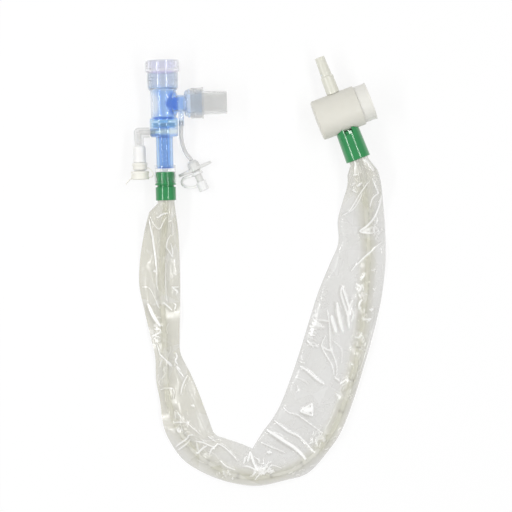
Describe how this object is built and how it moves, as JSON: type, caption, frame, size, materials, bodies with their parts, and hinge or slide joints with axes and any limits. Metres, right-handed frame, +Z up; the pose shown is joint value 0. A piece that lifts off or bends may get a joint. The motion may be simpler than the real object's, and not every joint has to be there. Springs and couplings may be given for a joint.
{
  "type": "closed suction catheter",
  "caption": "Closed suction catheter lying flat: T-piece with swivel ports, irrigation port, gas line, catheter in a clear film sleeve, green collars and a sprung thumb valve.",
  "frame": {"origin": "centre of the footprint, on the floor that the object lies on", "axes": "+Y along the T-piece towards the patient swivel, +X along its side branch, +Z up"},
  "size_m": [0.1746, 0.2888, 0.0274],
  "materials": {
    "blue_clear": "clear blue moulded plastic",
    "blue_clear_deep": "clear blue moulded plastic",
    "lilac_clear": "clear moulded plastic with a lilac tint",
    "grey_clear": "clear moulded plastic with a grey tint",
    "colourless_clear": "clear moulded plastic",
    "silicone": "soft silicone",
    "green_plastic": "glossy green moulded plastic",
    "white_soft": "soft white plastic",
    "white_translucent": "translucent white plastic",
    "cream_soft": "soft cream plastic",
    "clear_tube": "clear flexible tube",
    "clear_film": "thin clear film with sharp creases",
    "catheter_tube": "frosted flexible tube with depth marks",
    "valve_white": "satin off-white plastic",
    "ivory_plastic": "glossy ivory plastic",
    "button_white": "satin white plastic",
    "spring_steel": "spring wire"
  },
  "bodies": {
    "manifold": {"t_piece_body": "blue_clear", "flush_chamber": "blue_clear_deep", "wiper_seal": "silicone", "sleeve_adapter": "colourless_clear", "patient_end_ring": "green_plastic", "irrigation_elbow": "colourless_clear", "irrigation_valve_housing": "white_soft", "irrigation_check_valve": "silicone", "extension_tube": "clear_tube", "winged_luer": "white_translucent", "sleeve": "clear_film", "catheter": "catheter_tube", "catheter_holder": "white_soft", "valve_end_ring": "green_plastic", "valve_body": "valve_white", "suction_connector": "ivory_plastic", "valve_spring": "spring_steel"},
    "patient_port": {"patient_swivel": "lilac_clear"},
    "ventilator_port": {"ventilator_swivel": "grey_clear"},
    "irrigation_port_cap": {"irrigation_cap": "cream_soft"},
    "gas_line_cap": {"luer_cap": "white_soft"},
    "plunger": {"valve_stem": "valve_white", "valve_plug": "silicone"},
    "thumb_button": {"valve_button": "button_white"}
  },
  "joints": [
    {"name": "patient_swivel_turn", "type": "hinge", "parent": "manifold", "child": "patient_port", "pos_m": [-0.06, 0.1148, 0.01155], "axis": [0, 1, 0], "continuous": true},
    {"name": "ventilator_swivel_turn", "type": "hinge", "parent": "manifold", "child": "ventilator_port", "pos_m": [-0.06, 0.1148, 0.01155], "axis": [1, 0, 0], "continuous": true},
    {"name": "irrigation_cap_pull", "type": "slide", "parent": "manifold", "child": "irrigation_port_cap", "axis": [0, -1, 0], "range_m": [0, 0.008]},
    {"name": "luer_cap_pull", "type": "slide", "parent": "manifold", "child": "gas_line_cap", "axis": [0.3859, -0.9225, 0], "range_m": [0, 0.008]},
    {"name": "valve_press", "type": "slide", "parent": "manifold", "child": "plunger", "axis": [-0.9438, -0.3305, 0], "range_m": [0, 0.005], "stiffness_N_per_m": 400, "springref_m": -0.002, "deforming": ["valve_spring"]},
    {"name": "valve_button_turn", "type": "hinge", "parent": "plunger", "child": "thumb_button", "pos_m": [0.0431, 0.1001, 0.0137], "axis": [0.9438, 0.3305, 0], "range_deg": [0, 180]}
  ]
}
